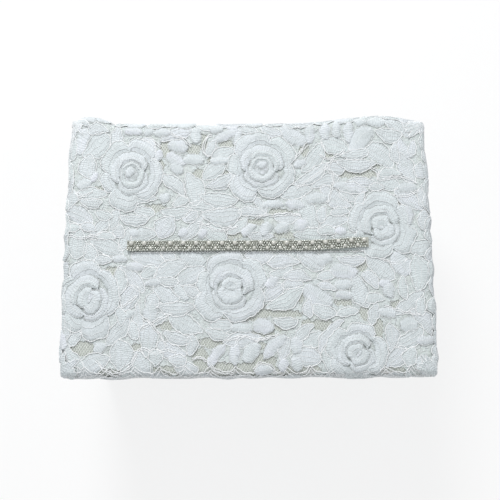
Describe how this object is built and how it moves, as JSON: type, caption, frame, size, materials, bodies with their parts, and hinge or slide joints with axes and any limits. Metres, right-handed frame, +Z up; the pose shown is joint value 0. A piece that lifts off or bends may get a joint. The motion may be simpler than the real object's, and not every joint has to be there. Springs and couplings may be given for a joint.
{
  "type": "wedding card box",
  "caption": "Rectangular lace-covered card box with a lift-off padded lid, a bound card slot in its top and a strip of pearls and crystals behind the slot.",
  "frame": {"origin": "middle of the underside of the felt pad, on the surface that the box stands on", "axes": "+X to the right along the longer side, +Y to the back, +Z up; the card slot is in front of the beaded strip, nearer -Y"},
  "size_m": [0.305, 0.215, 0.1563],
  "materials": {
    "lace": "corded rose lace on hexagonal net, white",
    "satin": "ivory satin, soft sheen",
    "lining": "ivory satin over card",
    "board": "grey rigid board",
    "wadding": "white polyester wadding",
    "felt": "ivory felt",
    "tape": "woven ribbon tape",
    "pearl": "pearl lustre",
    "crystal": "silvered cut beads"
  },
  "bodies": {
    "base": {"base_felt_pad": "felt", "base_floor_board": "board", "base_front_board": "board", "base_back_board": "board", "base_left_board": "board", "base_right_board": "board", "base_satin_cover": "satin", "base_lace_band": "lace", "base_lining_floor": "lining", "base_lining_front": "lining", "base_lining_back": "lining", "base_lining_left": "lining", "base_lining_right": "lining"},
    "lid": {"lid_top_board": "board", "lid_front_rim_board": "board", "lid_back_rim_board": "board", "lid_left_rim_board": "board", "lid_right_rim_board": "board", "lid_lining_ceiling": "lining", "lid_lining_front": "lining", "lid_lining_back": "lining", "lid_lining_left": "lining", "lid_lining_right": "lining", "lid_wadding": "wadding", "lid_satin_cover": "satin", "lid_lace_cover": "lace", "slot_binding": "satin", "trim_tape": "tape", "trim_big_pearls": "pearl", "trim_small_pearls": "pearl", "trim_crystals": "crystal"}
  },
  "joints": [
    {"name": "lid_lift", "type": "slide", "parent": "base", "child": "lid", "axis": [0, 0, 1], "range_m": [0, 0.12]}
  ]
}
